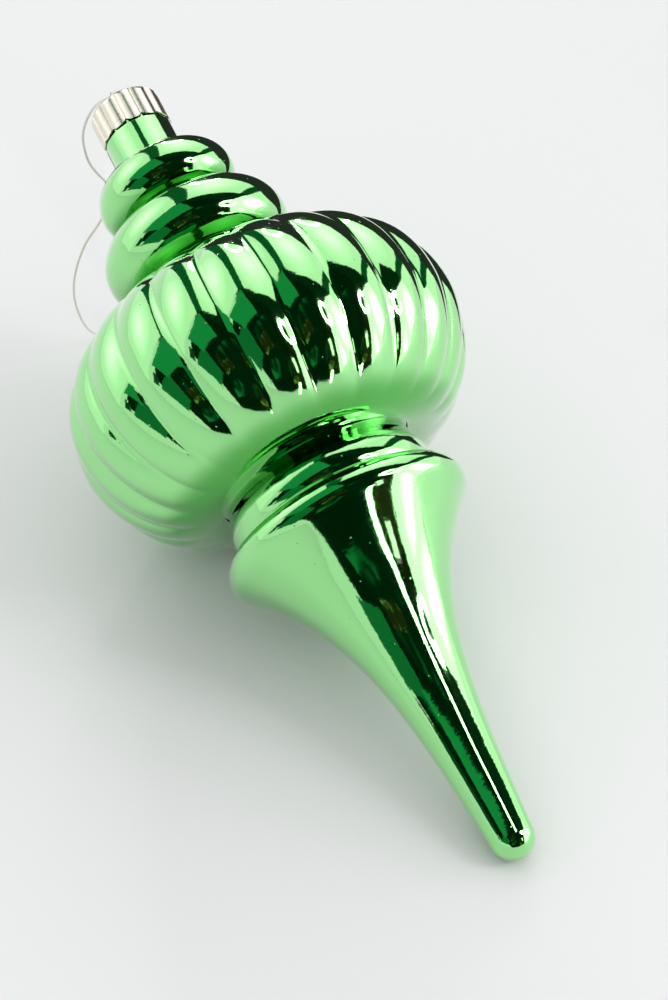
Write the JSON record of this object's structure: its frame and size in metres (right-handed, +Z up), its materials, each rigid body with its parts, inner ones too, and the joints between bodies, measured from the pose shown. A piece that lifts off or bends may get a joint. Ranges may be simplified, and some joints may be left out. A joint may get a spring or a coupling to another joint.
{
  "type": "finial ornament",
  "caption": "Hanging holiday ornament: a turned finial with a lobed bulb, stacked rings, a long pointed cone, a crown cap and a thread loop, lying on its side",
  "frame": {"origin": "on the floor, under the middle of the box round the body, cap and wire", "axes": "+Z up; the ornament lies on its side as it comes to rest, with its own axis in the YZ plane, the tip toward -Y and the cap toward +Y, about 20 degrees up; +X is to the right seen from the tip"},
  "size_m": [0.0916, 0.1934, 0.089],
  "materials": {
    "body": "mirror-metallised green, glossy, with a slight orange-peel",
    "cap_metal": "thin pressed sheet, pale champagne, satin",
    "wire": "plain spring wire",
    "thread": "thin twisted thread, pale grey-brown"
  },
  "bodies": {
    "root": {"shell": "body", "cap": "cap_metal", "hanger_wire": "wire", "thread_knot": "thread", "thread": "thread"}
  },
  "joints": []
}
